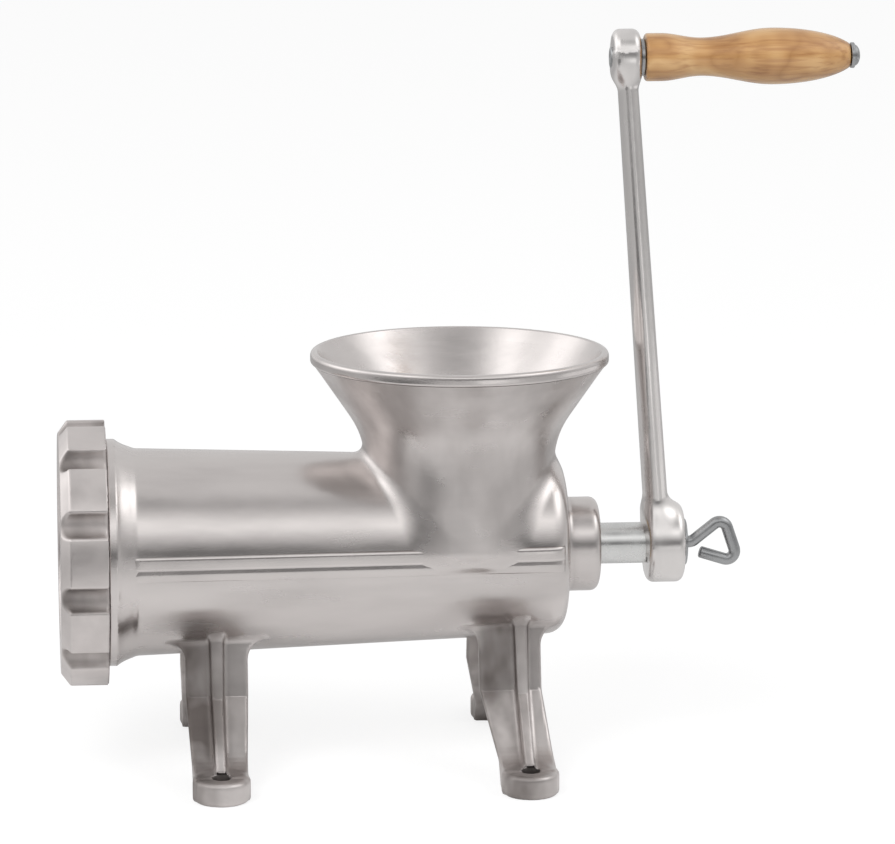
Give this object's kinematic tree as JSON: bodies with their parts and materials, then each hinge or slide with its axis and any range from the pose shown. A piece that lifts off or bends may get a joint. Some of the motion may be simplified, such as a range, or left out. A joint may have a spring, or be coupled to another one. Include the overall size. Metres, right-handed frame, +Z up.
{
  "type": "manual meat grinder",
  "caption": "Bolt-down hand meat grinder: tinned cast-iron barrel on flared legs, round hopper, notched ring nut, worm and knife, and a long crank with a turned wooden grip.",
  "frame": {"origin": "middle of the four foot bolts, on the table plane", "axes": "+X along the barrel towards the crank, so the discharge ring is at -X; +Z up; -Y towards the camera of the picture"},
  "size_m": [0.4133, 0.196, 0.3793],
  "materials": {
    "tinned_iron": "satin tinned casting",
    "crank_iron": "satin tinned casting",
    "bronze": "machined",
    "cutter_steel": "ground",
    "turned_steel": "turned",
    "zinc_steel": "zinc plated",
    "wood": "clear lacquer"
  },
  "bodies": {
    "housing": {"grinder_body": "tinned_iron", "rear_bush": "bronze", "thrust_washer": "turned_steel", "plate_key_pin": "turned_steel"},
    "plate": {"grinding_plate": "cutter_steel"},
    "ring": {"ring_nut": "tinned_iron"},
    "crank": {"knife": "cutter_steel", "knife_stud": "turned_steel", "auger_worm": "tinned_iron", "drive_shaft": "turned_steel", "crank_arm": "crank_iron", "grip_spindle": "zinc_steel", "inner_grip_washer": "zinc_steel", "outer_grip_washer": "zinc_steel"},
    "washer": {"crank_washer": "zinc_steel"},
    "screw": {"thumb_screw": "zinc_steel"},
    "grip": {"handle_grip": "wood"}
  },
  "joints": [
    {"name": "crank_turn", "type": "hinge", "parent": "housing", "child": "crank", "pos_m": [0.12, 0, 0.1115], "axis": [1, 0, 0], "continuous": true},
    {"name": "grip_spin", "type": "hinge", "parent": "crank", "child": "grip", "pos_m": [0.198, 0, 0.3648], "axis": [1, 0, 0], "continuous": true},
    {"name": "ring_turn", "type": "hinge", "parent": "plate", "child": "ring", "pos_m": [-0.145, 0, 0.1115], "axis": [-1, 0, 0], "range_deg": [0, 1800]},
    {"name": "plate_slide", "type": "slide", "parent": "housing", "child": "plate", "axis": [-1, 0, 0], "range_m": [0, 0.0201]},
    {"name": "thumb_screw_turn", "type": "hinge", "parent": "washer", "child": "screw", "pos_m": [0.168, 0, 0.1115], "axis": [1, 0, 0], "range_deg": [0, 5401]},
    {"name": "washer_slide", "type": "slide", "parent": "crank", "child": "washer", "axis": [1, 0, 0], "range_m": [0, 0.01875]}
  ],
  "couplings": [
    {"joint": "plate_slide", "follows": "ring_turn", "m_per_rad": 0.00063662},
    {"joint": "thumb_screw_turn", "follows": "washer_slide", "rad_per_m": 5026.5}
  ]
}
